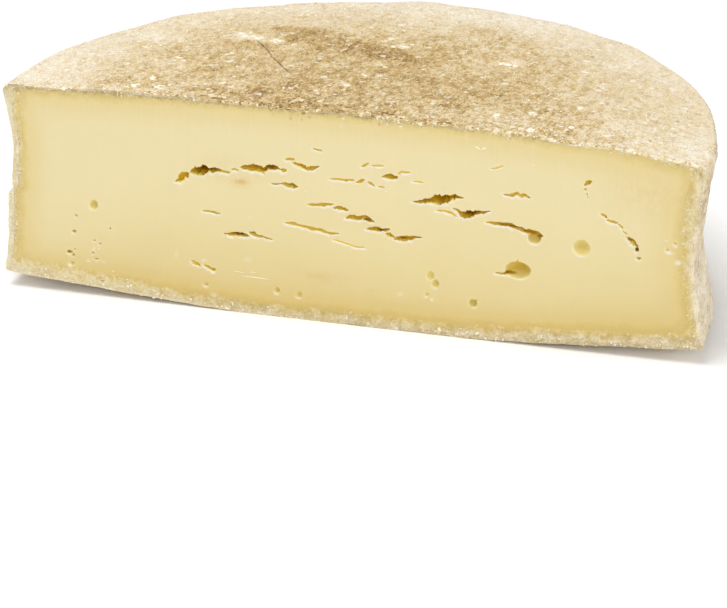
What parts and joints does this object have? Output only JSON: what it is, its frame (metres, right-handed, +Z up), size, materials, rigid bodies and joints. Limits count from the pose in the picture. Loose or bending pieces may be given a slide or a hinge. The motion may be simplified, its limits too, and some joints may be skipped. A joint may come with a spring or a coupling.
{
  "type": "half cheese wheel",
  "caption": "Half of a mountain cheese wheel, cut straight down, with slits and round eyes in the pale paste and a dry mottled rind.",
  "frame": {"origin": "middle of the bounding box in plan, on the surface that the cheese rests on", "axes": "+X along the cut, to the right as one faces the cut; the cut faces -Y and the round side +Y; +Z up"},
  "size_m": [0.298, 0.159, 0.0928],
  "materials": {
    "paste": "smooth, slightly moist knife cut, with a soft glow under the surface",
    "rind": "dry, mealy and mottled, cream to tan with white flecks"
  },
  "bodies": {
    "root": {"cheese": "paste"}
  },
  "joints": []
}
